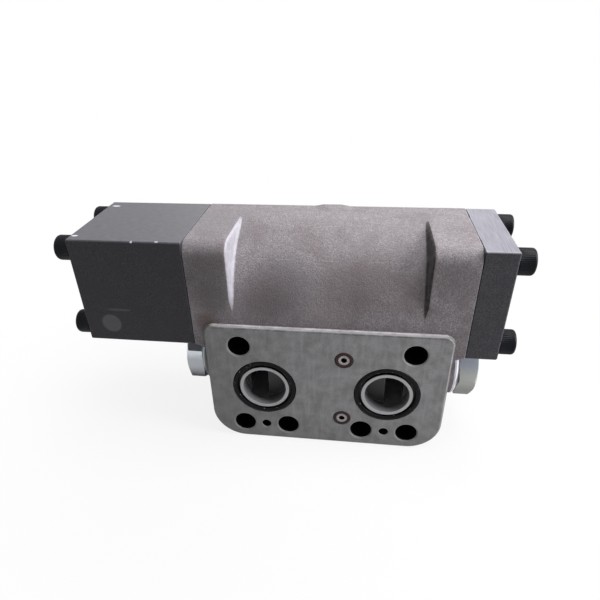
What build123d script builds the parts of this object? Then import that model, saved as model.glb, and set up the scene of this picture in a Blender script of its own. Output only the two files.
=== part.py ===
from build123d import *
import os
from math import cos, pi, sin, sqrt

# Counterbalance valve of a travel motor. X runs along the spool, Y runs back from the motor
# face and Z is up. The origin is on the motor face, midway between the two motor ports.

# Driving dimensions, in millimetres

# Motor face: one and a quarter inch high pressure flange pattern round each port
port_x = 42.0
port_r = 15.0
port_depth = 11.0
rear_port_depths = (11.0, 10.9)
rear_window_depth = 10.5
lip_r = 17.25
gland_r = 22.3
gland_depth = 2.8
bolt_pitch_x = 31.8
bolt_pitch_z = 66.7
bolt_hole_r = 7.5
pin_hole_r = 3.4
pin_hole_depth = 12.0
pilot_x = 12.3
pilot_z = (27.0, -23.0)
pilot_r = 2.0
pilot_lip_r = 3.75
pilot_gland_r = 6.25
pilot_gland_depth = 1.8
mouth_chamfer = 0.9
window_depth = 6.0
window_half = 16.0

# Flange plates front and back, with the cast waist between them
flange_half = 81.0
flange_top = 49.0
flange_bottom = -47.0
flange_top_r = 7.0
flange_bottom_r = 23.0
flange_thick = 14.0
waist_step = 2.0
flange_chamfer = 1.2
flare_r = 10.0
back_face_y = 78.0
back_flange_y = 66.0

# Spool housing above them
housing_half = 88.5
housing_front = 3.0
housing_depth = 73.0
housing_top = 105.0
housing_height = 73.5
corner_r = 9.0
barrel_r = 53.0
relief_half = 61.3
relief_taper = 1.5
cast_r = 2.0
feeder_stub_x = -1.0
feeder_stub_half = 12.5
feeder_stub_flat = 6.0
feeder_stub_height = 1.1

# Covers and their screws
cover_length = 75.0
end_cover_thick = 19.8
cover_chamfer = 0.8
screw_pitch = 55.5
screw_r = 5.0
screw_head_r = 8.1
screw_head_length = 10.0
screw_socket_flats = 8.0
screw_socket_depth = 5.0
screw_grip = 15.0
tapped_depth = 20.0
screw_hole_r = 5.5

# Spool and the galleries it connects
spool_bore_r = 16.0
spool_r = 15.95
spool_left = -housing_half
spool_right = 84.0
spool_travel = 8.0
spool_neck_r = 10.0
spool_neck = (14.0, 33.0)
gallery_half = 21.0
relief_gallery_half = 6.0
supply_gallery = (24.0, 34.0)
motor_gallery = (39.0, 48.0)
motor_passage = (40.0, 46.5, 28.0, 60.0)
supply_passage = (27.5, 33.5, 32.0, 50.0)
spool_drilling_r = 4.0
spool_drilling_end = 18.0
spool_cross_hole_r = 2.0
spool_cross_hole_x = 27.0
spool_notch_r = 2.2
spool_notch_depth = 2.0
spool_thread_r = 6.0
thread_length = 16.0
thread_runout = 2.0
orifice_length = 10.0
orifice_r = 0.8
orifice_socket_flats = 6.0
orifice_socket_depth = 5.0
end_recess_depth = 7.0
pilot_depth = 8.0
hose_tap_r = 6.0
hose_tap_depth = 22.0

# Centring spring, caught between two seats on the stem
seat_flange_r = 20.0
seat_flange = 4.0
seat_hub_r = 11.0
seat_hub = 4.5
spring_space = 45.5
stem_r = 7.5
stem_head_flats = 17.0
stem_head_length = 7.0
seat_gap = 0.06
cavity_r = 22.0
head_cavity_r = 12.0
head_cavity_length = 17.0

# Check valve on each side, in line with its hexagon plug
check_y = 44.0
check_seat = (36.5, 41.0)
seat_hole_r = 11.0
seat_bevel = 1.5
motor_chamber = (41.0, 54.0)
supply_chamber = (27.5, 36.5)
guide_r = 14.0
guide_end = 72.0
poppet_r = 13.94
poppet_gap = 0.07
poppet_length = 25.0
poppet_bore_r = 10.2
poppet_floor = 47.0
poppet_wall = 9.0
boss_r = 23.0
boss_face = 91.0
boss_chamfer = 1.2
plug_thread_r = 16.5
plug_flats = 41.0
plug_washer_r = 20.2
plug_washer = 1.5
plug_hex = 12.5
plug_head_bevel = 2.2
plug_ring_bore_r = 19.4
plug_ring_bore_depth = 2.6
plug_bore_r = 10.5
plug_bore_depth = 3.0
plug_turn = {"left": 28.0, "right": 0.0}
check_coil_r = 8.0
check_wire = 2.0
check_turns = 5
centring_coil_r = 15.0
centring_wire = 4.5
centring_turns = 5
coil_sides = 10

# Sections of the rubber rings
port_ring_wire = 3.45
pilot_ring_wire = 2.2
cover_ring_wire = 2.3
plug_ring_wire = 2.4
cover_ring_bore_r = 25.0
port_ring_sides = 28
pilot_ring_sides = 16
hidden_ring_sides = 24

# Holes and shanks that nothing shows are drawn with flat sides, which keeps the part light
hidden_sides = 12

# Places worked out from the driving dimensions
housing_y = housing_front + housing_depth / 2
housing_z = housing_top - housing_height / 2
housing_bottom = housing_top - housing_height
flange_y = back_face_y / 2
flange_height = flange_top - flange_bottom
bolt_dx = bolt_pitch_x / 2
bolt_z = bolt_pitch_z / 2
outer_seat_x = -housing_half - spring_space
cover_end = -housing_half - cover_length
hex_corner = 2 / sqrt(3)

through_holes = [
    (side * x, z)
    for side in (-1, 1)
    for x, z in ((port_x + bolt_dx, bolt_z), (port_x + bolt_dx, -bolt_z), (port_x - bolt_dx, -bolt_z))
]
port_centres = [(-port_x, 0), (port_x, 0)]
pin_centres = [(-port_x, -bolt_z), (port_x, -bolt_z)]
pilot_centres = [(pilot_x, z) for z in pilot_z]

os.makedirs("parts", exist_ok=True)


def spool_line(x, side=1):
    """Plane across the spool axis at x, facing right, or left where side is -1."""
    return Plane(origin=(x, housing_y, housing_z), x_dir=(0, 1, 0), z_dir=(side, 0, 0))


def check_line(side, distance):
    """Plane across a check valve's axis, facing outward on that side of the valve."""
    return Plane(origin=(side * distance, check_y, 0), x_dir=(0, 1, 0), z_dir=(side, 0, 0))


def front_plane(depth):
    """Plane parallel to the motor face, that far behind it and facing the motor."""
    return Plane.XZ.offset(-depth)


def flange_outline(inset=0.0):
    """Outline of a flange plate: small top corners and large bottom corners."""
    with BuildSketch() as outline:
        with Locations((0, (flange_top + flange_bottom) / 2)):
            Rectangle(2 * flange_half, flange_height)
        fillet(outline.vertices().group_by(Axis.Y)[-1], flange_top_r)
        fillet(outline.vertices().group_by(Axis.Y)[0], flange_bottom_r)
        if inset:
            offset(amount=-inset, mode=Mode.REPLACE)
    return outline.sketch


def hidden_hole(radius):
    """Outline of a hole that nothing shows: flat sides that touch its circle from outside."""
    with BuildSketch() as outline:
        RegularPolygon(radius, hidden_sides, major_radius=False)
    return outline.sketch


def save(builder, name):
    """Label one finished piece and write it to its own file."""
    builder.part.label = name
    export_step(builder.part, f"parts/{name}.step")


# Barrel relief: what the foundry pattern leaves out in front of the spool bore. Its outer
# surface is a large radius from the top to the front, and its two end walls have draft.
corner_plane = Plane(origin=(0, housing_front, housing_top), x_dir=(1, 0, 0), z_dir=(0, -1, 1))
barrel_centre = (housing_front + barrel_r, housing_top - barrel_r)

with BuildPart() as barrel_relief:
    with BuildSketch(Plane.YZ.offset(-housing_half)):
        with Locations(barrel_centre):
            Rectangle(barrel_r + corner_r, barrel_r + corner_r, align=(Align.MAX, Align.MIN))
            Circle(barrel_r, mode=Mode.SUBTRACT)
    extrude(amount=2 * housing_half)
    with BuildSketch(corner_plane):
        Rectangle(2 * relief_half, 4 * barrel_r)
    extrude(amount=-barrel_r, taper=relief_taper, mode=Mode.INTERSECT)

# Valve body: one iron casting. The square housing is relieved between its ends, and the port
# block hangs below it between two machined flange plates.
with BuildPart() as valve_body:
    with BuildSketch(spool_line(-housing_half)):
        Rectangle(housing_depth, housing_height)
    extrude(amount=2 * housing_half)
    front_top = valve_body.edges().filter_by(Axis.X).sort_by(Axis.Y)[:2].sort_by(Axis.Z)[-1]
    fillet(front_top, corner_r)
    add(barrel_relief.part, mode=Mode.SUBTRACT)
    relief_edges = valve_body.edges().filter_by(
        lambda e: relief_half - 6 < abs(e.center().X) < relief_half + 1
    )
    fillet(relief_edges, cast_r)

    # Low mound at the back edge of the top, where the feeder was knocked off and ground flat
    back_edge = (feeder_stub_x, housing_front + housing_depth, housing_top)
    with BuildSketch(Plane(origin=back_edge, x_dir=(1, 0, 0), z_dir=(0, -1, 0))):
        with BuildLine():
            Polyline(
                (0, -1),
                (0, feeder_stub_height),
                (feeder_stub_flat, feeder_stub_height),
                (feeder_stub_half, 0),
                (feeder_stub_half, -1),
                close=True,
            )
        make_face()
    revolve(axis=Axis(back_edge, (0, 0, -1)), revolution_arc=180)

    # Waist of the port block, flaring out into the underside of the housing
    with BuildSketch(front_plane(housing_front)):
        add(flange_outline(inset=waist_step))
        with BuildSketch(mode=Mode.PRIVATE) as flare:
            Rectangle(2 * housing_half, flare_r, align=(Align.CENTER, Align.MAX))
            waist_half = flange_half - waist_step
            with Locations((-waist_half - flare_r, -flare_r), (waist_half + flare_r, -flare_r)):
                Circle(flare_r, mode=Mode.SUBTRACT)
        with Locations((0, housing_bottom)):
            add(flare.sketch)
    extrude(amount=-housing_depth)

    # Flange plates, the motor face bevelled all round
    with BuildSketch(front_plane(0)):
        add(flange_outline())
    extrude(amount=-flange_thick)
    with BuildSketch(front_plane(back_flange_y)):
        add(flange_outline())
    extrude(amount=-(back_face_y - back_flange_y))
    chamfer(valve_body.faces().sort_by(Axis.Y)[0].edges(), flange_chamfer)

    # Round bosses for the check valve plugs
    for side in (-1, 1):
        with BuildSketch(check_line(side, port_x)):
            Circle(boss_r)
        extrude(amount=boss_face - port_x)
        boss_rim = valve_body.faces().sort_by(Axis.X)[0 if side < 0 else -1].edges()
        chamfer(boss_rim, boss_chamfer)

    # Spool bore, and the cored galleries that surround it
    with BuildSketch(spool_line(-housing_half)):
        Circle(spool_bore_r)
    extrude(amount=2 * housing_half, mode=Mode.SUBTRACT)
    with BuildSketch(spool_line(-relief_gallery_half)):
        Rectangle(2 * gallery_half, 2 * gallery_half)
    extrude(amount=2 * relief_gallery_half, mode=Mode.SUBTRACT)
    for side in (-1, 1):
        for inner, outer in (supply_gallery, motor_gallery):
            with BuildSketch(spool_line(side * inner, side)):
                Rectangle(2 * gallery_half, 2 * gallery_half)
            extrude(amount=outer - inner, mode=Mode.SUBTRACT)

    # Cored passages from the galleries down to the check valves
    for side in (-1, 1):
        for inner, outer, near, far in (motor_passage, supply_passage):
            with BuildSketch(Plane.XY):
                with Locations((side * (inner + outer) / 2, (near + far) / 2)):
                    Rectangle(outer - inner, far - near)
            extrude(amount=housing_z, mode=Mode.SUBTRACT)

    # Check valve bores: the seat with its bevel, the guide, the thread and the ring's corner
    for side in (-1, 1):
        for start, end, radius in (
            (supply_chamber[0], check_seat[1], seat_hole_r),
            (motor_chamber[0], guide_end, guide_r),
            (guide_end, boss_face, plug_thread_r + seat_gap),
            (boss_face - plug_ring_bore_depth, boss_face, plug_ring_bore_r),
        ):
            with BuildSketch(check_line(side, start)):
                Circle(radius)
            extrude(amount=end - start, mode=Mode.SUBTRACT)
        with BuildSketch(check_line(side, motor_chamber[0])):
            Circle(seat_hole_r + seat_bevel)
        extrude(amount=-seat_bevel, taper=45, mode=Mode.SUBTRACT)

    # Motor ports in front, each with a cored window that cuts into its wall and leads behind
    # the seat; supply ports at the back, with a window in the floor that leads before the seat
    for face, depths, chamber, floor, behind in (
        (front_plane(0), (port_depth, port_depth), motor_chamber, window_depth, check_y),
        (front_plane(back_face_y), rear_port_depths, supply_chamber, -rear_window_depth,
         check_y - back_face_y),
    ):
        inward = 1 if floor > 0 else -1
        for centre, depth in zip(port_centres, depths):
            with BuildSketch(face):
                with Locations(centre):
                    Circle(port_r)
            extrude(amount=-inward * depth, mode=Mode.SUBTRACT)
        with BuildSketch(face.offset(-floor)):
            for side in (-1, 1):
                with Locations((side * (chamber[0] + chamber[1]) / 2, 0)):
                    Rectangle(chamber[1] - chamber[0], 2 * window_half)
        extrude(amount=floor - behind, mode=Mode.SUBTRACT)

    # Ring grooves of the motor face
    with BuildSketch(front_plane(0)):
        with Locations(*port_centres):
            Circle(gland_r)
            Circle(lip_r, mode=Mode.SUBTRACT)
    extrude(amount=-gland_depth, mode=Mode.SUBTRACT)
    with BuildSketch(front_plane(0)):
        with Locations(*pilot_centres):
            Circle(pilot_gland_r)
            Circle(pilot_lip_r, mode=Mode.SUBTRACT)
    extrude(amount=-pilot_gland_depth, mode=Mode.SUBTRACT)

    # Mounting bolts pass right through, locating pins do not
    with BuildSketch(front_plane(0)):
        with Locations(*through_holes):
            Circle(bolt_hole_r)
    extrude(amount=-back_face_y, mode=Mode.SUBTRACT)
    with BuildSketch(front_plane(0)):
        with Locations(*pin_centres):
            Circle(pin_hole_r)
    extrude(amount=-pin_hole_depth, mode=Mode.SUBTRACT)
    hole_mouths = valve_body.edges().filter_by(GeomType.CIRCLE).filter_by(
        lambda e: abs(e.center().Y) < 0.01 and round(e.radius, 2) == bolt_hole_r
    )
    chamfer(hole_mouths, mouth_chamfer)

    # Pilot drillings
    with BuildSketch(front_plane(0)):
        with Locations(*pilot_centres):
            Circle(pilot_r)
    extrude(amount=-pilot_depth, mode=Mode.SUBTRACT)

    # Tapped holes: the hose flanges' short bolts at the back, the cover screws at both ends
    with BuildSketch(front_plane(back_face_y)):
        with Locations((-port_x + bolt_dx, bolt_z), (port_x - bolt_dx, bolt_z)):
            Circle(hose_tap_r)
    extrude(amount=hose_tap_depth, mode=Mode.SUBTRACT)
    for side in (-1, 1):
        with BuildSketch(spool_line(side * housing_half, side)):
            with GridLocations(screw_pitch, screw_pitch, 2, 2):
                add(hidden_hole(screw_r + seat_gap))
        extrude(amount=-tapped_depth, mode=Mode.SUBTRACT)

save(valve_body, "valve_body")


# Spring cover: a long steel block bored for the centring spring and the stem head
with BuildPart() as spring_cover:
    with BuildSketch(spool_line(cover_end)):
        Rectangle(housing_depth, housing_height)
    extrude(amount=cover_length)
    chamfer(spring_cover.edges(), cover_chamfer)
    with BuildSketch(spool_line(-housing_half)):
        Circle(cavity_r)
    extrude(amount=-spring_space, mode=Mode.SUBTRACT)
    with BuildSketch(spool_line(outer_seat_x)):
        Circle(head_cavity_r)
    extrude(amount=-head_cavity_length, mode=Mode.SUBTRACT)
    with BuildSketch(spool_line(cover_end)):
        with GridLocations(screw_pitch, screw_pitch, 2, 2):
            add(hidden_hole(screw_hole_r))
    extrude(amount=cover_length, mode=Mode.SUBTRACT)
    with BuildSketch(spool_line(-housing_half, -1)):
        Circle(cover_ring_bore_r)
    extrude(amount=cover_ring_wire + seat_gap, mode=Mode.SUBTRACT)

save(spring_cover, "spring_cover")

# End cover: a plate with a shallow recess that the spool's end enters
with BuildPart() as end_cover:
    with BuildSketch(spool_line(housing_half)):
        Rectangle(housing_depth, housing_height)
    extrude(amount=end_cover_thick)
    chamfer(end_cover.edges(), cover_chamfer)
    with BuildSketch(spool_line(housing_half)):
        Circle(cavity_r)
    extrude(amount=end_recess_depth, mode=Mode.SUBTRACT)
    with BuildSketch(spool_line(housing_half)):
        with GridLocations(screw_pitch, screw_pitch, 2, 2):
            add(hidden_hole(screw_hole_r))
    extrude(amount=end_cover_thick, mode=Mode.SUBTRACT)
    with BuildSketch(spool_line(housing_half)):
        Circle(cover_ring_bore_r)
    extrude(amount=cover_ring_wire + seat_gap, mode=Mode.SUBTRACT)

save(end_cover, "end_cover")


def cover_screws(side, seat, grip):
    """Four socket head screws that pass through a cover of that grip into the body."""
    with BuildPart() as screws:
        with BuildSketch(spool_line(side * seat, side)):
            with GridLocations(screw_pitch, screw_pitch, 2, 2):
                Circle(screw_head_r)
        extrude(amount=screw_head_length)
        with BuildSketch(spool_line(side * (seat + screw_head_length), side)):
            with GridLocations(screw_pitch, screw_pitch, 2, 2):
                RegularPolygon(screw_socket_flats / 2, 6, major_radius=False)
        extrude(amount=-screw_socket_depth, mode=Mode.SUBTRACT)
        with BuildSketch(spool_line(side * seat, side)):
            with GridLocations(screw_pitch, screw_pitch, 2, 2):
                RegularPolygon(screw_r, hidden_sides)
        extrude(amount=-(grip + screw_grip))
    return screws


save(cover_screws(-1, housing_half + cover_length, cover_length), "spring_cover_screws")
save(cover_screws(1, housing_half + end_cover_thick, end_cover_thick), "end_cover_screws")

# Spool: two necks that join the galleries, with metering notches at their outer ends and
# drillings that carry the pilot pressure to both ends
with BuildPart() as spool:
    with BuildSketch(spool_line(spool_left)):
        Circle(spool_r)
    extrude(amount=spool_right - spool_left)
    for side in (-1, 1):
        with BuildSketch(spool_line(side * spool_neck[0], side)):
            Circle(spool_r + seat_gap)
            Circle(spool_neck_r, mode=Mode.SUBTRACT)
        extrude(amount=spool_neck[1] - spool_neck[0], mode=Mode.SUBTRACT)
        for dy, dz in ((1, 0), (0, 1), (-1, 0), (0, -1)):
            floor = Vector(side * spool_neck[1], housing_y, housing_z)
            floor += Vector(0, dy, dz) * (spool_r - spool_notch_depth)
            with BuildSketch(Plane(origin=floor, x_dir=(1, 0, 0), z_dir=(0, dy, dz))):
                Circle(spool_notch_r)
            extrude(amount=2 * spool_notch_depth, mode=Mode.SUBTRACT)
    for end, side in ((spool_left, -1), (spool_right, 1)):
        with BuildSketch(spool_line(end, side)):
            add(hidden_hole(spool_drilling_r))
        extrude(amount=spool_drilling_end - side * end, mode=Mode.SUBTRACT)
        with BuildSketch(spool_line(end, side)):
            add(hidden_hole(spool_thread_r))
        extrude(amount=-thread_length - thread_runout, mode=Mode.SUBTRACT)
        with BuildSketch(Plane(origin=(side * spool_cross_hole_x, housing_y, housing_z))):
            add(hidden_hole(spool_cross_hole_r))
        extrude(amount=spool_r, mode=Mode.SUBTRACT)

save(spool, "spool")

# Orifice plug: damps the spool by throttling the oil that leaves its right end
with BuildPart() as orifice_plug:
    with BuildSketch(spool_line(spool_right)):
        RegularPolygon(spool_thread_r - seat_gap, hidden_sides)
        add(hidden_hole(orifice_r), mode=Mode.SUBTRACT)
    extrude(amount=-orifice_length)
    with BuildSketch(spool_line(spool_right)):
        RegularPolygon(orifice_socket_flats / 2, 6, major_radius=False)
    extrude(amount=-orifice_socket_depth, mode=Mode.SUBTRACT)

save(orifice_plug, "spool_orifice_plug")

# Stem: a shouldered bolt in the spool's left end that carries both spring seats
with BuildPart() as stem:
    with BuildSketch(spool_line(spool_left)):
        RegularPolygon(spool_thread_r - seat_gap, hidden_sides)
    extrude(amount=thread_length)
    with BuildSketch(spool_line(spool_left)):
        Circle(stem_r)
    extrude(amount=-spring_space)
    with BuildSketch(spool_line(outer_seat_x)):
        RegularPolygon(stem_head_flats / 2, 6, major_radius=False)
    extrude(amount=-stem_head_length)

save(stem, "spool_stem")

# Spring seats: flanged rings that slide on the stem, hubs facing each other
for name, x, side in (("inner", -housing_half, -1), ("outer", outer_seat_x, 1)):
    with BuildPart() as spring_seat:
        with BuildSketch(spool_line(x, side)):
            Circle(seat_flange_r)
            Circle(stem_r + seat_gap, mode=Mode.SUBTRACT)
        extrude(amount=seat_flange)
        with BuildSketch(spool_line(x, side)):
            Circle(seat_hub_r)
            Circle(stem_r + seat_gap, mode=Mode.SUBTRACT)
        extrude(amount=seat_flange + seat_hub)
    save(spring_seat, f"{name}_spring_seat")


def coil_spring(start, direction, length, coil_r, wire, turns):
    """Compression spring along X with closed ends, drawn with straight pieces."""
    closed_pitch = wire * 1.05
    open_pitch = (length - wire * hex_corner - 2 * closed_pitch) / (turns - 2)
    points = []
    for step in range(turns * coil_sides + 1):
        turn = step / coil_sides
        closed = min(turn, 1) + max(turn - turns + 1, 0)
        reach = wire * hex_corner / 2 + closed * closed_pitch + (turn - closed) * open_pitch
        angle = 2 * pi * turn
        points.append(
            Vector(start) + Vector(direction * reach, coil_r * cos(angle), coil_r * sin(angle))
        )
    with BuildPart() as spring:
        with BuildLine() as path:
            Polyline(*points)
        with BuildSketch(Plane(origin=path.line @ 0, z_dir=path.line % 0)):
            RegularPolygon(wire / 2, 6)
        sweep(transition=Transition.RIGHT)
    return spring


def rubber_ring(centre, normal, ring_r, wire, sides):
    """Rubber ring with straight sides, closed at the middle of one of them."""
    lie = Plane(origin=centre, z_dir=normal)
    points = [lie.from_local_coords((ring_r * cos(pi / sides), 0, 0))]
    for side in range(sides):
        angle = 2 * pi * (side + 0.5) / sides
        points.append(lie.from_local_coords((ring_r * cos(angle), ring_r * sin(angle), 0)))
    with BuildPart() as ring:
        with BuildLine() as path:
            Polyline(*points, close=True)
        with BuildSketch(Plane(origin=points[0], z_dir=path.line % 0)):
            RegularPolygon(wire / 2, 6)
        sweep(transition=Transition.RIGHT)
    return ring


along_x = Vector(1, 0, 0)
along_y = Vector(0, 1, 0)
spring_start = (outer_seat_x + seat_flange, housing_y, housing_z)
spring_length = spring_space - 2 * seat_flange
save(
    coil_spring(spring_start, 1, spring_length, centring_coil_r, centring_wire, centring_turns),
    "centring_spring",
)
for name, x in (("spring_cover", -housing_half), ("end_cover", housing_half)):
    centre = (x + (cover_ring_wire if x > 0 else -cover_ring_wire) / 2, housing_y, housing_z)
    ring_r = cover_ring_bore_r - cover_ring_wire / 2 - seat_gap
    ring = rubber_ring(centre, along_x, ring_r, cover_ring_wire, hidden_ring_sides)
    save(ring, f"{name}_seal")
for name, (x, z) in zip(("left", "right"), port_centres):
    centre = (x, gland_depth - port_ring_wire / 2, z)
    ring_r = gland_r - port_ring_wire / 2 - seat_gap
    ring = rubber_ring(centre, along_y, ring_r, port_ring_wire, port_ring_sides)
    save(ring, f"{name}_port_seal")
for name, (x, z) in zip(("upper", "lower"), pilot_centres):
    centre = (x, pilot_gland_depth - pilot_ring_wire / 2, z)
    ring_r = (pilot_gland_r + pilot_lip_r) / 2
    ring = rubber_ring(centre, along_y, ring_r, pilot_ring_wire, pilot_ring_sides)
    save(ring, f"{name}_pilot_seal")

# Check valves: a spring loaded poppet, its spring, the hexagon plug behind it and its ring
for name, side in (("left", -1), ("right", 1)):
    outward = Plane(origin=(0, check_y, 0), x_dir=(side, 0, 0), z_dir=(0, -1, 0))
    check_axis = Axis((0, check_y, 0), (side, 0, 0))

    # The poppet's cone lies parallel to the bevel of its seat, a hair's breadth away
    cone_start = poppet_floor - poppet_wall
    cone_shift = seat_hole_r + seat_bevel - check_seat[1] - poppet_gap * sqrt(2)
    with BuildPart() as poppet:
        with BuildSketch(outward):
            with BuildLine():
                Polyline(
                    (cone_start, 0),
                    (cone_start, cone_start + cone_shift),
                    (poppet_r - cone_shift, poppet_r),
                    (cone_start + poppet_length, poppet_r),
                    (cone_start + poppet_length, poppet_bore_r),
                    (poppet_floor, poppet_bore_r),
                    (poppet_floor, 0),
                    close=True,
                )
            make_face()
        revolve(axis=check_axis)
    save(poppet, f"{name}_check_poppet")

    spring_start = (side * poppet_floor, check_y, 0)
    spring_length = guide_end + plug_bore_depth - poppet_floor
    save(
        coil_spring(spring_start, side, spring_length, check_coil_r, check_wire, check_turns),
        f"{name}_check_spring",
    )

    # Hexagon head, bevelled all round its outer end, then the washer face and the thread
    head_start = boss_face + plug_washer
    head_end = head_start + plug_hex
    corner = plug_flats / 2 * hex_corner
    with BuildPart() as check_plug:
        with BuildSketch(check_line(side, head_start)):
            RegularPolygon(plug_flats / 2, 6, major_radius=False, rotation=plug_turn[name])
        extrude(amount=plug_hex)
        with BuildSketch(outward):
            with BuildLine():
                Polyline(
                    (head_start, 0),
                    (head_start, corner),
                    (head_end - plug_head_bevel, corner),
                    (head_end, corner - plug_head_bevel * sqrt(3)),
                    (head_end, 0),
                    close=True,
                )
            make_face()
        revolve(axis=check_axis, mode=Mode.INTERSECT)
        with BuildSketch(outward):
            with BuildLine():
                Polyline(
                    (guide_end, plug_bore_r),
                    (guide_end, plug_thread_r),
                    (boss_face, plug_thread_r),
                    (boss_face, plug_washer_r),
                    (head_start, plug_washer_r),
                    (head_start, 0),
                    (guide_end + plug_bore_depth, 0),
                    (guide_end + plug_bore_depth, plug_bore_r),
                    close=True,
                )
            make_face()
        revolve(axis=check_axis)
    save(check_plug, f"{name}_check_plug")

    centre = (side * (boss_face - plug_ring_wire / 2), check_y, 0)
    ring_r = (plug_thread_r + plug_ring_bore_r) / 2
    ring = rubber_ring(centre, along_x, ring_r, plug_ring_wire, hidden_ring_sides)
    save(ring, f"{name}_check_plug_seal")
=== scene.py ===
# %% [markdown]
# # A counterbalance valve, dressed for its picture
# The valve is bolted to the back of a travel motor. It is one iron casting with a steel cover
# on each end, socket head screws, two hexagon plugs and a milled face that carries rubber
# rings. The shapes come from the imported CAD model, which is loaded first and never changed.
# What follows gives every piece its real surface, and builds the small pieces that CAD draws
# only roughly: the screws, the springs and the rubber rings.

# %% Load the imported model
from math import cos, pi, radians, sin

import bmesh
import bpy
from mathutils import Euler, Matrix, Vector


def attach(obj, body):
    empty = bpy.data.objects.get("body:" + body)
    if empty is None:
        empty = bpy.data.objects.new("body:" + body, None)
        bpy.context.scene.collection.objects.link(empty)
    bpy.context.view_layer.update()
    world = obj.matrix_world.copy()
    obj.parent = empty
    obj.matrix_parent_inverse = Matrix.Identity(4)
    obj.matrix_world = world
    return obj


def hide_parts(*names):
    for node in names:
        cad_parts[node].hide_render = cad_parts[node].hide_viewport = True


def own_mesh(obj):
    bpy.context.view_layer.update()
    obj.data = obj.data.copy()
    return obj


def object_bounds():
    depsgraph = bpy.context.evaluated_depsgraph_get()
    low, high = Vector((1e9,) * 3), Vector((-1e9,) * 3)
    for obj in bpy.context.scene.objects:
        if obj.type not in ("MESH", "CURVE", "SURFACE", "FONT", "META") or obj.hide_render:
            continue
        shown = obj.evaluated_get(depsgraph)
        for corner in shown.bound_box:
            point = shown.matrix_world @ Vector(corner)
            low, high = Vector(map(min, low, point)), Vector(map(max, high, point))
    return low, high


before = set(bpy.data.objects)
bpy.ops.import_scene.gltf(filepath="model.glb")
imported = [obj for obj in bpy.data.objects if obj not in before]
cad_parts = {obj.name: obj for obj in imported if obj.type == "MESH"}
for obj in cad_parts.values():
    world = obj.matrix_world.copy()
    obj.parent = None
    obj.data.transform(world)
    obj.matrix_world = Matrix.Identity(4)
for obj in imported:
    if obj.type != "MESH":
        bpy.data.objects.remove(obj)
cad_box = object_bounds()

MM = 0.001
print("CAD box in mm:", [[round(c / MM, 1) for c in corner] for corner in cad_box])

# %% [markdown]
# ## Camera
# The camera stands where the photographer stood: in front of the motor face, a little to the
# right, and high enough to look down on the top. Its place, angles and lens were solved from
# the corners of the covers and the flange, so it is written as numbers. The lens shift is
# there because the object sits a little low and left in the frame.

# %% Camera
camera = bpy.data.objects.new("camera", bpy.data.cameras.new("camera"))
camera.location = Vector((17.36, -268.42, 221.95)) * MM
camera.rotation_euler = Euler((radians(57.765), radians(1.473), radians(7.591)))
camera.data.lens = 30.16
camera.data.sensor_width = 36.0
camera.data.shift_x = 0.0170
camera.data.shift_y = 0.0452
camera.data.clip_start = 0.01
bpy.context.scene.collection.objects.link(camera)
bpy.context.scene.camera = camera
bpy.context.scene.view_settings.view_transform = "Standard"
print("camera at", [round(c / MM) for c in camera.location], "mm")

# %% [markdown]
# ## One way to add a node
# Every material here is built from Blender's own nodes. One function adds a node, sets what
# is given, and links it to the nodes before it, so each finish below reads as a short recipe.
# Colours are written as sRGB hex, the way a colour picker shows them, and one function turns
# them into the linear light values that the shaders work with.

# %% Node and colour helpers
def linear(code):
    """An sRGB hex colour as linear red, green, blue and alpha."""
    parts = [int(code[i : i + 2], 16) / 255 for i in (1, 3, 5)]
    return [c / 12.92 if c <= 0.04045 else ((c + 0.055) / 1.055) ** 2.4 for c in parts] + [1.0]


def add(tree, kind, links=None, **settings):
    """Add one node. links gives each input, by name or number, a value or the node feeding it."""
    made = tree.nodes.new("ShaderNode" + kind)
    for key, value in settings.items():
        setattr(made, key, value)
    for key, value in (links or {}).items():
        if isinstance(value, bpy.types.Node):
            value = next(out for out in value.outputs if out.enabled)
        if isinstance(value, bpy.types.NodeSocket):
            tree.links.new(value, made.inputs[key])
        elif isinstance(value, str):
            made.inputs[key].default_value = linear(value)
        else:
            made.inputs[key].default_value = value
    return made


def new_material(name):
    """An empty material, its node tree, and object coordinates in millimetres."""
    material = bpy.data.materials.new(name)
    material.use_nodes = True
    material.node_tree.nodes.clear()
    tree = material.node_tree
    place = add(tree, "TexCoord").outputs["Object"]
    place = add(tree, "VectorMath", {0: place, "Scale": 1 / MM}, operation="SCALE")
    return material, tree, place


def finish(tree, edge_mm=None, bump=None, wear_and_highlight=None, **sockets):
    """Close a material with one Principled shader. Bevelled edges and bump share its normal.

    The edge tone, (colour, width in mm, strength), pales the edges where a bevel that wide turns away from the face:
    partly wear and partly a painted highlight. Noise of 3 mm breaks the pale line up."""
    normal = None
    if edge_mm:
        normal = add(tree, "Bevel", {"Radius": edge_mm * MM}, samples=6)
    if wear_and_highlight:
        tone, width_mm, strength = wear_and_highlight
        turned = add(tree, "VectorMath", {0: add(tree, "Bevel", {"Radius": width_mm * MM}, samples=6),
                                          1: add(tree, "NewGeometry").outputs["Normal"]},
                     operation="DOT_PRODUCT").outputs["Value"]
        worn_and_highlit = add(tree, "MapRange", {0: turned, 1: 0.94, 2: 0.78, 4: strength})
        place = add(tree, "TexCoord").outputs["Object"]
        broken = add(tree, "TexNoise", {"Vector": place, "Scale": 1 / 3 / MM, "Detail": 3.0})
        broken = add(tree, "MapRange", {0: broken, 1: 0.4, 2: 0.58, 3: 0.25, 4: 1.0})
        worn_and_highlit = add(tree, "Math", {0: worn_and_highlit, 1: broken}, operation="MULTIPLY")
        sockets["Base_Color"] = add(tree, "Mix", {0: worn_and_highlit, 6: sockets["Base_Color"], 7: tone}, data_type="RGBA")
    if bump:
        height, depth_mm = bump
        links = {"Height": height, "Distance": depth_mm * MM, "Strength": 1.0}
        if normal:
            links["Normal"] = normal
        normal = add(tree, "Bump", links)
    links = {key.replace("_", " "): value for key, value in sockets.items()}
    if normal:
        links["Normal"] = normal
    shader = add(tree, "BsdfPrincipled", links)
    add(tree, "OutputMaterial", {"Surface": shader})


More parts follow.
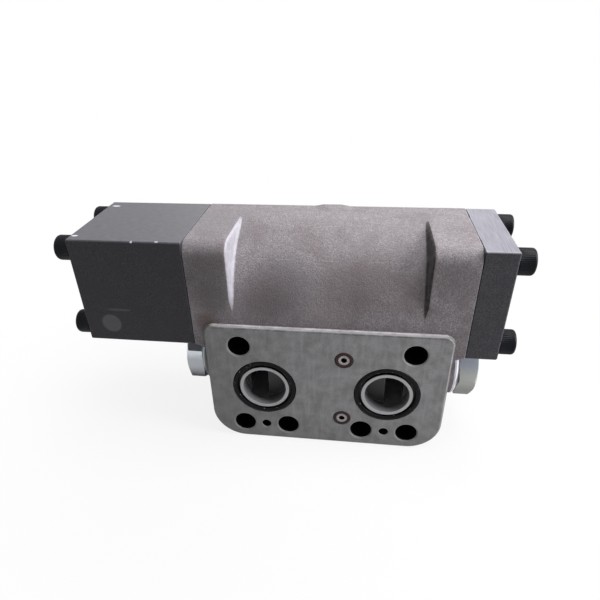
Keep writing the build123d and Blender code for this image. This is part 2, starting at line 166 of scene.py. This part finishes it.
# %% [markdown]
# ## Light, floor and background
# A workshop photograph on white: one large soft light from the upper right, a weaker one from
# behind that puts a sheen on the top faces, and an even fill from the white room. The room is
# pure white only for the camera and for reflections. For the fill it is dimmer, so colours
# come out about as they are written. The floor is plain matt white and keeps a soft shadow.

# %% World
world = bpy.data.worlds.new("white_room")
bpy.context.scene.world = world
world.use_nodes = True
world.node_tree.nodes.clear()
FILL = 0.16
path = add(world.node_tree, "LightPath")
seen = add(world.node_tree, "Math", {0: path.outputs["Is Camera Ray"], 1: path.outputs["Is Glossy Ray"]},
           operation="MAXIMUM")
seen = add(world.node_tree, "Math", {0: seen, 1: path.outputs["Is Transmission Ray"]}, operation="MAXIMUM")
strength = add(world.node_tree, "MapRange", {0: seen, 3: FILL, 4: 1.0})
room = add(world.node_tree, "Background", {"Color": "#ffffff", "Strength": strength})
add(world.node_tree, "OutputWorld", {"Surface": room})

# %% Lamps
LAMPS = (
    # name, place in mm, size in mm, watts
    ("window_on_the_right", (680, -40, 420), 480, 9.0),
    ("soft_box_above", (160, 60, 900), 520, 8.0),
    ("sheen_from_behind", (-60, 900, 760), 700, 3.0),
)
AIM = Vector((0, 40, 40)) * MM
for name, place, size, watts in LAMPS:
    lamp = bpy.data.objects.new(name, bpy.data.lights.new(name, "AREA"))
    lamp.data.size = size * MM
    lamp.data.energy = watts
    lamp.location = Vector(place) * MM
    lamp.rotation_euler = (AIM - lamp.location).to_track_quat("-Z", "Y").to_euler()
    bpy.context.scene.collection.objects.link(lamp)
print(len(LAMPS), "lamps, fill", FILL)

# %% Floor
floor_mesh = bpy.data.meshes.new("floor")
FLOOR = 6000
floor_z = cad_box[0].z / MM
floor_mesh.from_pydata(
    [Vector((x, y, floor_z)) * MM for x, y in ((-FLOOR, -FLOOR), (FLOOR, -FLOOR), (FLOOR, FLOOR), (-FLOOR, FLOOR))],
    [], [(0, 1, 2, 3)])
floor = bpy.data.objects.new("floor", floor_mesh)
bpy.context.scene.collection.objects.link(floor)
material = bpy.data.materials.new("matt_white_floor")
material.use_nodes = True
tree = material.node_tree
tree.nodes.clear()
path = add(tree, "LightPath")
seen = add(tree, "Math", {0: path.outputs["Is Camera Ray"], 1: path.outputs["Is Glossy Ray"]}, operation="MAXIMUM")
white = add(tree, "Emission", {"Color": "#ffffff", "Strength": 1.0})
matt = add(tree, "BsdfDiffuse", {"Color": "#c8c8c8"})
away = add(tree, "VectorMath", {0: add(tree, "TexCoord").outputs["Object"], 1: (0.0, 0.04, floor_z * MM)},
           operation="DISTANCE").outputs["Value"]
share = add(tree, "MapRange", {0: away, 1: 0.10, 2: 0.34, 3: 0.86, 4: 1.0}, interpolation_type="SMOOTHSTEP")
share = add(tree, "Math", {0: seen, 1: share}, operation="MULTIPLY")
add(tree, "OutputMaterial", {"Surface": add(tree, "MixShader", {0: share, 1: matt, 2: white})})
floor_mesh.materials.append(material)

# %% [markdown]
# ## Sand cast iron
# The body is grey iron poured in a sand mould. Sand grains leave a skin of small pits and
# bumps about a millimetre across, and heat leaves it blotchy, from mauve grey to rusty brown.
# Where a cutter has passed, at the motor face, the ports, the plug bosses and the back, the
# skin is gone and the iron is plain grey and finer. One material holds both: masks measured in
# millimetres from the drawing say which is which, so the border falls on the real edges.

# %% Sand cast iron with milled faces
# Patches placed one by one. The first five are stains; the grey ones after them are partly stain and partly painted
# shade.
STAINS_AND_SHADE = (
    # centre in mm, radius in mm, colour, strength
    ((26.0, 10.0, 81.0), 26.0, "#5f5456", 0.5),
    ((-41.0, 4.5, 67.0), 24.0, "#574d50", 0.5),
    ((50.0, 8.0, 76.0), 16.0, "#625757", 0.4),
    ((-78.0, 1.0, 50.0), 12.0, "#4d3b33", 0.7),
    ((0.0, 5.0, 60.0), 20.0, "#857b7c", 0.4),
    # The grey patches from here on are partly stain and partly painted shade.
    ((-30.0, 7.0, 76.0), 30.0, "#4e484b", 0.55),
    ((10.0, 7.5, 78.0), 28.0, "#514a4c", 0.45),
    ((-78.0, 3.0, 84.0), 26.0, "#4b4849", 0.6),
    ((-72.0, 3.0, 66.0), 18.0, "#4b4849", 0.5),
    ((75.0, 3.0, 86.0), 20.0, "#565052", 0.4),
    ((-74.0, 40.0, 105.0), 34.0, "#6e6b6e", 0.45),
)


def cast_iron():
    material, tree, place = new_material("sand_cast_iron_with_milled_faces")
    x, y, z = add(tree, "SeparateXYZ", {0: place}).outputs
    across = add(tree, "Math", {0: x}, operation="ABSOLUTE")
    upright = add(tree, "Math", {0: z}, operation="ABSOLUTE")

    def reach(from_x, from_z):
        """Distance in mm from an axis along Y, given two offsets."""
        ray = add(tree, "CombineXYZ", {0: from_x, 2: from_z})
        return add(tree, "VectorMath", {0: ray}, operation="LENGTH").outputs["Value"]

    def less(value, limit):
        return add(tree, "Math", {0: value, 1: limit}, operation="SUBTRACT")

    def both(first, second, operation="MULTIPLY"):
        return add(tree, "Math", {0: first, 1: second}, operation=operation)

    def above(value, limit, soft=0.05):
        return add(tree, "MapRange", {0: value, 1: limit - soft, 2: limit + soft})

    def below(value, limit, soft=0.05):
        return add(tree, "MapRange", {0: value, 1: limit + soft, 2: limit - soft})

    def blend(share, under, over):
        return add(tree, "Mix", {0: share, 6: under, 7: over}, data_type="RGBA")

    # Where the cutter has been
    port = reach(less(across, 42.0), z)
    pilot = reach(less(x, 12.3), less(add(tree, "Math", {0: less(z, 2.0)}, operation="ABSOLUTE"), 25.0))
    outer_bolt = reach(less(across, 57.9), less(upright, 33.35))
    inner_bolt = reach(less(across, 26.1), less(upright, 33.35))
    pin = both(reach(less(across, 42.0), less(upright, 33.35)), 4.1, "ADD")
    hole = both(both(outer_bolt, inner_bolt, "MINIMUM"), pin, "MINIMUM")
    inside = above(y, 0.95)
    drilled = both(both(below(hole, 7.6), inside), below(y, 77.5))
    milled = both(both(below(y, 0.95), above(y, 77.9), "MAXIMUM"), above(across, 88.6), "MAXIMUM")
    at_front = below(y, 6.0, 1.0)
    milled = both(both(milled, below(port, 22.5), "MAXIMUM"), both(below(pilot, 6.3), at_front), "MAXIMUM")

    # Sand skin: grains of about 0.9 mm, lumps of 5 mm, stains of 30 mm
    grain = add(tree, "TexNoise", {"Vector": place, "Scale": 1 / 0.9, "Detail": 3.0, "Roughness": 0.65})
    lumps = add(tree, "TexNoise", {"Vector": place, "Scale": 1 / 5, "Detail": 4.0, "Roughness": 0.6})
    stains = add(tree, "TexNoise", {"Vector": place, "Scale": 1 / 24, "Detail": 3.0, "Distortion": 0.6})
    skin = blend(add(tree, "MapRange", {0: grain, 1: 0.3, 2: 0.72}), "#5f5a5e", "#979296")
    skin = blend(add(tree, "MapRange", {0: lumps, 1: 0.38, 2: 0.7, 4: 0.5}), skin, "#696264")
    skin = blend(add(tree, "MapRange", {0: stains, 1: 0.52, 2: 0.66, 4: 0.35}), skin, "#5f5354")
    for centre, radius, tone, most in STAINS_AND_SHADE:
        away = add(tree, "VectorMath", {0: place, 1: centre}, operation="DISTANCE").outputs["Value"]
        away = both(away, add(tree, "MapRange", {0: lumps, 3: 0.55, 4: 1.45}))
        spot = add(tree, "MapRange", {0: away, 1: radius, 2: 0.2 * radius, 4: most}, interpolation_type="SMOOTHSTEP")
        skin = blend(spot, skin, tone)

    # Painted highlight on the relief's left wall and painted shade on its right wall
    half_width = add(tree, "MapRange", {0: z, 1: 50.5, 2: 66.0, 3: 0.15, 4: 1.6})
    wall_x = both(half_width, 58.9, "ADD")
    band = add(tree, "Math", {0: across, 1: wall_x, 2: half_width}, operation="COMPARE")
    recessed = add(tree, "MapRange", {0: reach(less(y, 56.0), less(z, 52.0)), 1: 53.03, 2: 53.2})
    recessed = both(both(recessed, above(z, 51.0, 1.0)), below(y, 50.0, 2.0))
    relief_wall_light_and_shade = both(both(band, recessed), add(tree, "MapRange", {0: lumps, 1: 0.3, 2: 0.6, 3: 0.65, 4: 0.95}))
    skin = blend(relief_wall_light_and_shade, skin, blend(above(x, 0.0), "#a8a5ae", "#231e20"))

    # Milled iron: finer, greyer, with clouds, fine pits and faint arcs from the cutter
    fine = add(tree, "TexNoise", {"Vector": place, "Scale": 1 / 0.7, "Detail": 2.0})
    cloud = add(tree, "TexNoise", {"Vector": place, "Scale": 1 / 9, "Detail": 5.0, "Roughness": 0.62})
    cut = blend(add(tree, "MapRange", {0: fine, 1: 0.3, 2: 0.7}), "#7b7a7c", "#939395")
    cut = blend(add(tree, "MapRange", {0: cloud, 1: 0.4, 2: 0.62, 4: 0.7}), cut, "#686769")
    streak = add(tree, "VectorMath", {0: place, 1: (0.35, 1.0, 0.035)}, operation="MULTIPLY")
    streak = add(tree, "TexNoise", {"Vector": streak, "Scale": 1.0, "Detail": 3.0})
    cut = blend(add(tree, "MapRange", {0: streak, 1: 0.5, 2: 0.68, 4: 0.3}), cut, "#9c9ca0")
    arcs = add(tree, "TexWave", {"Vector": add(tree, "VectorMath", {0: place, 1: (-96.0, 0.0, 46.0)}),
                                 "Scale": 0.14, "Distortion": 0.4, "Detail": 2.0},
               wave_type="RINGS", rings_direction="Y")
    cut = blend(add(tree, "MapRange", {0: arcs, 1: 0.86, 2: 1.0, 4: 0.12}), cut, "#5f605f")
    # Painted shade: the milled face darker towards the left.
    cut = blend(add(tree, "MapRange", {0: x, 1: -84.0, 2: -15.0, 3: 0.45, 4: 0.0}), cut, "#5b5a5a")
    cut = blend(add(tree, "MapRange", {0: z, 1: 5.0, 2: -47.0, 4: 0.3}), cut, "#636463")
    rim_line = both(add(tree, "Math", {0: z, 1: 47.7, 2: 0.7}, operation="COMPARE"), below(y, 0.2))
    cut = blend(both(rim_line, add(tree, "MapRange", {0: cloud, 1: 0.35, 2: 0.6, 4: 0.7})), cut, "#4a4749")
    # Painted highlight along the right end of the milled face.
    cut = blend(add(tree, "MapRange", {0: x, 1: 87.0, 2: 88.7, 4: 0.85}), cut, "#e4e1ec")
    lip = both(add(tree, "Math", {0: port, 1: 16.1, 2: 1.15}, operation="COMPARE"), below(y, 0.1))
    cut = blend(lip, cut, "#a9a9ac")
    pilot_lip = both(add(tree, "Math", {0: pilot, 1: 2.9, 2: 0.9}, operation="COMPARE"), below(y, 0.1))
    cut = blend(pilot_lip, cut, "#a39c9c")
    # Painted shade: the port bore darker the deeper it goes.
    bored = both(below(port, 15.1), above(y, 0.1))
    depth = add(tree, "MapRange", {0: y, 1: 1.0, 2: 11.5})
    cut = blend(bored, cut, blend(depth, "#77777a", "#303032"))
    # Painted shade: the O-ring grooves and the pilot holes painted near black.
    groove = both(add(tree, "Math", {0: port, 1: 19.8, 2: 2.6}, operation="COMPARE"), above(y, 0.12))
    cut = blend(both(groove, at_front), cut, "#0b0b0c")
    pilot_groove = both(add(tree, "Math", {0: pilot, 1: 5.0, 2: 1.3}, operation="COMPARE"), above(y, 0.12))
    cut = blend(both(pilot_groove, at_front), cut, "#160f10")
    cut = blend(both(both(below(pilot, 2.05), above(y, 0.2)), below(y, 30.0)), cut, "#0c0b0c")

    colour = blend(milled, skin, cut)
    # Painted highlight: the narrow top ledge over the milled face painted pale.
    ledge = both(both(above(z, 48.4, 0.3), below(y, 2.8, 0.1)), above(y, 0.1))
    ledge = both(ledge, below(z, 49.3))
    colour = blend(both(ledge, add(tree, "MapRange", {0: lumps, 1: 0.3, 2: 0.6, 3: 0.3, 4: 0.8})), colour, "#c4c0c4")
    # Painted shade: the bolt and pin holes painted near black, with almost no shine.
    colour = blend(drilled, colour, "#0b0a0b")
    rough = add(tree, "MapRange", {0: milled, 3: 0.8, 4: 0.52})
    shine = add(tree, "MapRange", {0: drilled, 3: 0.35, 4: 0.02})
    height = both(grain, lumps, "ADD")
    height = both(height, add(tree, "MapRange", {0: milled, 3: 1.0, 4: 0.1}))
    finish(tree, 0.7, (height, 0.4), ("#c2bec4", 0.9, 0.75), Base_Color=colour, Roughness=rough,
           Specular_IOR_Level=shine)
    return material


# %% [markdown]
# ## Cover steels, screws and plugs
# First finishes for the other pieces, each one noise-grained and bevelled.

# %% Simple finishes
def grained(name, dark, light, grain_mm, roughness, metallic, edge_mm=0.3, depth_mm=0.04, shine=0.5, specks=None):
    """A finish whose colour wanders between two tones with grains of that size, with dust specks if asked."""
    material, tree, place = new_material(name)
    grain = add(tree, "TexNoise", {"Vector": place, "Scale": 1 / grain_mm, "Detail": 4.0})
    tone = add(tree, "MapRange", {0: grain, 1: 0.35, 2: 0.68})
    colour = add(tree, "Mix", {0: tone, 6: dark, 7: light}, data_type="RGBA")
    if specks:
        speck_tone, apart_mm = specks
        spots = add(tree, "TexVoronoi", {"Vector": place, "Scale": 1 / apart_mm})
        near = add(tree, "MapRange", {0: spots.outputs["Distance"], 1: 0.24, 2: 0.16})
        few = add(tree, "SeparateXYZ", {0: spots.outputs["Color"]}).outputs[0]
        few = add(tree, "MapRange", {0: few, 1: 0.9, 2: 0.92})
        share = add(tree, "Math", {0: near, 1: few}, operation="MULTIPLY")
        colour = add(tree, "Mix", {0: share, 6: colour, 7: speck_tone}, data_type="RGBA")
    finish(tree, edge_mm, (grain, depth_mm), None, Base_Color=colour, Roughness=roughness, Metallic=metallic,
           Specular_IOR_Level=shine)
    return material


def block_steel_with_painted_sheen(name, side, top, side_rough, top_rough, top_metal, top_stretch, marks=()):
    """A steel block whose top face was ground and is painted lighter as a sheen, and whose other faces were left
    dark.
    """
    material, tree, place = new_material(name)
    x, y, z = add(tree, "SeparateXYZ", {0: place}).outputs
    # The top face is ground and painted lighter as a sheen; the other faces stay dark.
    ground_top_and_sheen = add(tree, "MapRange", {0: z, 1: 104.3, 2: 104.9})
    fine = add(tree, "TexNoise", {"Vector": place, "Scale": 1 / 0.8, "Detail": 3.0})
    cloud = add(tree, "TexNoise", {"Vector": place, "Scale": 1 / 8, "Detail": 5.0, "Roughness": 0.6})
    mix = add(tree, "MapRange", {0: fine, 1: 0.3, 2: 0.7})
    dull = add(tree, "Mix", {0: mix, 6: side[0], 7: side[1]}, data_type="RGBA")
    mottle = add(tree, "MapRange", {0: cloud, 1: 0.4, 2: 0.66, 4: 0.7})
    dull = add(tree, "Mix", {0: mottle, 6: dull, 7: side[2]}, data_type="RGBA")
    disc = add(tree, "VectorMath", {0: place, 1: (-145.4, 3.0, 45.2)}, operation="DISTANCE").outputs["Value"]
    disc = add(tree, "MapRange", {0: disc, 1: 7.4, 2: 6.0, 4: 0.8})
    dull = add(tree, "Mix", {0: disc, 6: dull, 7: "#5b585a"}, data_type="RGBA")
    grind = add(tree, "VectorMath", {0: place, 1: top_stretch}, operation="MULTIPLY")
    grind = add(tree, "TexNoise", {"Vector": grind, "Scale": 1.0, "Detail": 3.0})
    mix = add(tree, "MapRange", {0: grind, 1: 0.3, 2: 0.7})
    ground = add(tree, "Mix", {0: mix, 6: top[0], 7: top[1]}, data_type="RGBA")
    mottle = add(tree, "MapRange", {0: cloud, 1: 0.42, 2: 0.66, 4: 0.5})
    ground = add(tree, "Mix", {0: mottle, 6: ground, 7: top[2]}, data_type="RGBA")
    colour = add(tree, "Mix", {0: ground_top_and_sheen, 6: dull, 7: ground}, data_type="RGBA")
    for centre, spread, tone in marks:
        offset = add(tree, "VectorMath", {0: place, 1: centre}, operation="SUBTRACT")
        offset = add(tree, "VectorMath", {0: offset, 1: spread}, operation="DIVIDE")
        offset = add(tree, "VectorMath", {0: offset}, operation="LENGTH").outputs["Value"]
        offset = add(tree, "Math", {0: offset, 1: add(tree, "MapRange", {0: cloud, 3: 0.5, 4: 1.6})},
                     operation="MULTIPLY")
        share = add(tree, "MapRange", {0: offset, 1: 1.1, 2: 0.8, 4: 0.9})
        colour = add(tree, "Mix", {0: share, 6: colour, 7: tone}, data_type="RGBA")
    rough = add(tree, "MapRange", {0: ground_top_and_sheen, 3: side_rough, 4: top_rough})
    metal = add(tree, "MapRange", {0: ground_top_and_sheen, 3: 0.0, 4: top_metal})
    shine = add(tree, "MapRange", {0: ground_top_and_sheen, 3: 0.2, 4: 0.5})
    finish(tree, 0.4, (fine, 0.03), ("#b4b2bb", 0.6, 0.6), Base_Color=colour, Roughness=rough, Metallic=metal,
           Specular_IOR_Level=shine)
    return material


def plated_plug_with_painted_light(name, tones, roughness, metallic):
    """Plated steel, darker below as painted shade, a plain middle, and a painted reflection on the top, blended by
    height.
    """
    material, tree, place = new_material(name)
    x, y, z = add(tree, "SeparateXYZ", {0: place}).outputs
    grain = add(tree, "TexNoise", {"Vector": place, "Scale": 1 / 2.5, "Detail": 4.0})
    wander = add(tree, "MapRange", {0: grain, 3: -2.0, 4: 2.0})
    level = add(tree, "Math", {0: z, 1: wander}, operation="ADD")
    middle = add(tree, "MapRange", {0: level, 1: -14.0, 2: -2.0}, interpolation_type="SMOOTHSTEP")
    top = add(tree, "MapRange", {0: level, 1: 2.0, 2: 12.0}, interpolation_type="SMOOTHSTEP")
    colour = add(tree, "Mix", {0: middle, 6: tones[0], 7: tones[1]}, data_type="RGBA")
    colour = add(tree, "Mix", {0: top, 6: colour, 7: tones[2]}, data_type="RGBA")
    finish(tree, 0.4, (grain, 0.03), ("#eef1f4", 0.5, 0.5), Base_Color=colour, Roughness=roughness,
           Metallic=metallic)
    return material


COVER_MARKS = (
    # centre in mm, half sizes in mm, colour
    ((-156.9, 66.9, 105.0), (3.4, 1.0, 1.0), "#dedef0"),
    ((-160.0, 10.0, 105.0), (2.2, 1.2, 1.2), "#c8c8da"),
    ((-120.0, 3.0, 104.8), (1.0, 1.2, 1.0), "#b8b8c4"),
    ((-104.0, 4.0, 105.0), (1.5, 1.0, 1.0), "#a8a8b2"),
    ((-138.0, 3.0, 56.0), (9.0, 2.0, 1.2), "#4a484c"),
)
SEAM_MARKS = (
    ((88.5, 66.0, 105.0), (0.9, 12.0, 1.5), "#08080a"),
    ((88.5, 14.0, 105.0), (0.9, 13.0, 1.5), "#08080a"),
    ((88.5, 3.0, 99.0), (0.9, 2.0, 6.0), "#0c0c0e"),
)
FINISHES = {
    "valve_body": cast_iron(),
    "spring_cover": block_steel_with_painted_sheen("blackened_steel_with_painted_sheen", ("#232226", "#3c3b41", "#312d31"),
                                ("#35353c", "#535259", "#434349"), 0.6, 0.45, 0.1, (0.2, 1.2, 1.0), COVER_MARKS),
    "end_cover": block_steel_with_painted_sheen("ground_steel_with_painted_sheen", ("#28282b", "#4b4a4f", "#36353a"),
                             ("#696871", "#8c8a93", "#7b7983"), 0.55, 0.42, 0.35, (1.6, 0.06, 1.0), SEAM_MARKS),
    # The plug tones are painted shade below, the plain plate, and a painted reflection on top.
    "left_check_plug": plated_plug_with_painted_light("bright_zinc_plate", ("#3c3c3f", "#b2b6bc", "#e9f0f8"), 0.32, 0.6),
    "right_check_plug": plated_plug_with_painted_light("dull_zinc_plate", ("#7c7d79", "#989a97", "#7f8590"), 0.45, 0.1),
}
STEEL = grained("ground_hardened_steel", "#8d8f92", "#b4b6ba", 0.8, 0.25, 1.0)
for node_name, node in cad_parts.items():
    node.data.materials.clear()
    node.data.materials.append(FINISHES.get(node_name, STEEL))

# %% [markdown]
# ## A loft, the one tool for the small pieces
# Screws, rings and springs are all rows of points joined row to row, so one small function in
# mesh code makes every one of them. Sharp edges are marked by angle and the rest is smooth.

# %% Loft
def loft(name, shells, body, slot_name, material, *nodes):
    """One mesh from shells of rings. Each shell is (rings, closed): rings of points in mm."""
    work = bmesh.new()
    for rings, closed in shells:
        rows = [[work.verts.new(Vector(point) * MM) for point in ring] for ring in rings]
        following = rows[1:] + rows[:1] if closed else rows[1:]
        for this, following_row in zip(rows, following):
            for i in range(len(this)):
                j = (i + 1) % len(this)
                work.faces.new((this[i], this[j], following_row[j], following_row[i]))
        if not closed:
            work.faces.new(rows[0])
            work.faces.new(rows[-1])
    bmesh.ops.recalc_face_normals(work, faces=work.faces)
    mesh = bpy.data.meshes.new(name)
    work.to_mesh(mesh)
    work.free()
    mesh.shade_smooth()
    mesh.set_sharp_from_angle(angle=radians(32))
    mesh.materials.append(material)
    piece = bpy.data.objects.new(name, mesh)
    bpy.context.scene.collection.objects.link(piece)
    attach(piece, body)
    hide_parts(*nodes)
    print(name, len(mesh.vertices), "points")
    return piece


# %% [markdown]
# ## Rubber rings
# Each ring is a plain O-ring: a round cord bent into a circle. It is a loft of small circles
# round a large one.

# %% Rubber rings
RUBBER = grained("black_nitrile_rubber", "#050506", "#0d0d10", 1.5, 0.42, 0.0, 0.0, 0.02, shine=0.1,
                 specks=("#9aa0a8", 1.3))
BROWN_RUBBER = grained("brown_nitrile_rubber", "#1c1113", "#3a2326", 0.8, 0.45, 0.0, 0.0, 0.01, shine=0.2)


def ring_rows(centre, across, ring_r, cord, steps=96, sides=16):
    """Rows of points of an O-ring round an axis along x or y."""
    rows = []
    for i in range(steps):
        turn = 2 * pi * i / steps
        row = []
        for j in range(sides):
            roll = 2 * pi * j / sides
            out = ring_r + cord / 2 * cos(roll)
            lift = cord / 2 * sin(roll)
            point = (lift, out * cos(turn), out * sin(turn)) if across == "x" else (
                out * cos(turn), lift, out * sin(turn))
            row.append(Vector(centre) + Vector(point))
        rows.append(row)
    return rows


RINGS = (
    # name, node, centre, axis, ring radius, cord, slot
    ("left_port_o_ring", "left_port_seal", (-42, 1.075, 0), "y", 20.515, 3.45, "port_seal_rubber"),
    ("right_port_o_ring", "right_port_seal", (42, 1.075, 0), "y", 20.515, 3.45, "port_seal_rubber"),
    ("upper_pilot_o_ring", "upper_pilot_seal", (12.3, 0.7, 27), "y", 5.0, 2.2, "brown_seal_rubber"),
    ("lower_pilot_o_ring", "lower_pilot_seal", (12.3, 0.7, -23), "y", 5.0, 2.2, "brown_seal_rubber"),
    ("spring_cover_o_ring", "spring_cover_seal", (-89.65, 39.5, 68.25), "x", 23.79, 2.3, "black_seal_rubber"),
    ("end_cover_o_ring", "end_cover_seal", (89.65, 39.5, 68.25), "x", 23.79, 2.3, "black_seal_rubber"),
    ("left_plug_o_ring", "left_check_plug_seal", (-89.8, 44, 0), "x", 17.95, 2.4, "black_seal_rubber"),
    ("right_plug_o_ring", "right_check_plug_seal", (89.8, 44, 0), "x", 17.95, 2.4, "black_seal_rubber"),
)
for name, node, centre, across, ring_r, cord, slot_name in RINGS:
    rubber = BROWN_RUBBER if slot_name.startswith("brown") else RUBBER
    loft(name, [(ring_rows(centre, across, ring_r, cord), True)], "housing", slot_name, rubber, node)

# %% [markdown]
# ## Socket head screws
# Cold headed steel screws with a knurled head, a hexagon socket and a black oxide skin.

# %% Screws
BLACK_OXIDE = grained("black_oxide_steel", "#050609", "#101219", 0.8, 0.38, 0.0, 0.0, 0.02, shine=0.12)
SCREW_CENTRES = [(39.5 + dy * 27.75, 68.25 + dz * 27.75) for dy in (-1, 1) for dz in (-1, 1)]
KNURLS = 40
POINTS = 3 * KNURLS


def screw_shells(seat, side, grip, centre):
    """Head and shank of one screw. seat is the x of the cover's face, side the way it points."""
    def ring(reach, radius, count=POINTS, shape="round"):
        row = []
        for i in range(count):
            turn = 2 * pi * i / count
            r = radius
            if shape == "knurl" and i % 3:
                r -= 0.22
            if shape == "hexagon":
                r = radius / cos((turn + pi / 6) % (pi / 3) - pi / 6)
            row.append((seat + side * reach, centre[0] + r * cos(turn), centre[1] + r * sin(turn)))
        return row

    head = [ring(0.05, 4.6), ring(0.05, 7.5), ring(0.6, 8.0), ring(0.8, 8.1, shape="knurl"),
            ring(8.3, 8.1, shape="knurl"), ring(8.5, 8.05)]
    head += [ring(8.6 + 1.35 * sin(a), 6.65 + 1.35 * cos(a)) for a in (0.25, 0.6, 0.95, 1.25, 1.5)]
    head += [ring(9.97, 6.3), ring(9.97, 5.1), ring(9.6, 4.0, shape="hexagon"),
             ring(5.0, 4.0, shape="hexagon"), ring(4.0, 0.3)]
    pitch, tip = 1.5, grip + 15
    shank = [ring(0.5, 4.6, 24), ring(-grip + 6, 4.98, 24)]
    steps = int(20 / 0.375)
    for k in range(steps):
        reach = -(grip + 15 - 20) - 0.375 * (k + 1)
        row = []
        for i in range(24):
            turn = 2 * pi * i / 24
            phase = (reach / pitch + i / 24) % 1
            r = 4.2 + 0.78 * abs(2 * phase - 1)
            row.append((seat + side * reach, centre[0] + r * cos(turn), centre[1] + r * sin(turn)))
        shank.append(row)
    return [(head, False), (shank, False)]


for name, node, seat, side, grip in (
    ("spring_cover_cap_screws", "spring_cover_screws", -163.5, -1, 75),
    ("end_cover_cap_screws", "end_cover_screws", 108.3, 1, 19.8),
):
    shells = [shell for centre in SCREW_CENTRES for shell in screw_shells(seat, side, grip, centre)]
    loft(name, shells, "housing", "black_oxide_screws", BLACK_OXIDE, node)

# %% [markdown]
# ## Springs
# Round wire wound cold, with the end turns closed up and ground flat. The wire is a loft along
# a helix, and pressing its points back to the two end planes grinds the ends.

# %% Springs
SPRING_WIRE = grained("oil_tempered_spring_wire", "#55534f", "#77746f", 0.7, 0.35, 0.9, 0.0, 0.01)


def spring_rows(start, direction, length, axis_y, axis_z, coil_r, wire, turns, steps=36, sides=14):
    """Rows of points along a compression spring's wire, both ends ground flat."""
    closed_pitch = 1.02 * wire
    lead_in = 0.32 * wire
    open_pitch = (length - 2 * lead_in - 2 * closed_pitch) / (turns - 2)
    low, high = sorted((start, start + direction * length))
    rows = []
    for i in range(turns * steps + 1):
        turn = i / steps
        closed = min(turn, 1) + max(turn - turns + 1, 0)
        reach = lead_in + closed * closed_pitch + (turn - closed) * open_pitch
        row = []
        for j in range(sides):
            roll = 2 * pi * j / sides
            r = coil_r + wire / 2 * cos(roll)
            x = start + direction * (reach + wire / 2 * sin(roll))
            row.append((min(max(x, low), high), axis_y + r * cos(2 * pi * turn), axis_z + r * sin(2 * pi * turn)))
        rows.append(row)
    return rows


MIDDLE = 5 * 36 // 2
SPRINGS = (
    # name, node, seat x, direction, length, axis y, axis z, coil radius, wire,
    # the rows that it takes, the joint that presses it, its fixed end x, its own length, stroke
    ("centring_coil_outer_half", "centring_spring", -130.0, 1, 37.5, 39.5, 68.25, 15.0, 4.5,
     slice(0, MIDDLE + 1), "spool_shift_right", -111.25, 18.75, 8.0),
    ("centring_coil_inner_half", "centring_spring", -130.0, 1, 37.5, 39.5, 68.25, 15.0, 4.5,
     slice(MIDDLE, None), "spool_shift_left", -111.25, 18.75, 8.0),
    ("left_check_coil", "left_check_spring", -47.0, -1, 28.0, 44.0, 0.0, 8.0, 2.0,
     slice(None), "left_check_open", -75.0, 28.0, 6.0),
    ("right_check_coil", "right_check_spring", 47.0, 1, 28.0, 44.0, 0.0, 8.0, 2.0,
     slice(None), "right_check_open", 75.0, 28.0, 6.0),
)
for name, node, *shape, part_of_rows, joint, fixed_x, length, stroke in SPRINGS:
    rows = spring_rows(*shape, 5)[part_of_rows]
    coil = loft(name, [(rows, False)], "housing", "spring_steel", SPRING_WIRE, node)
    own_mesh(coil)

# %% Update the view layer
bpy.context.view_layer.update()
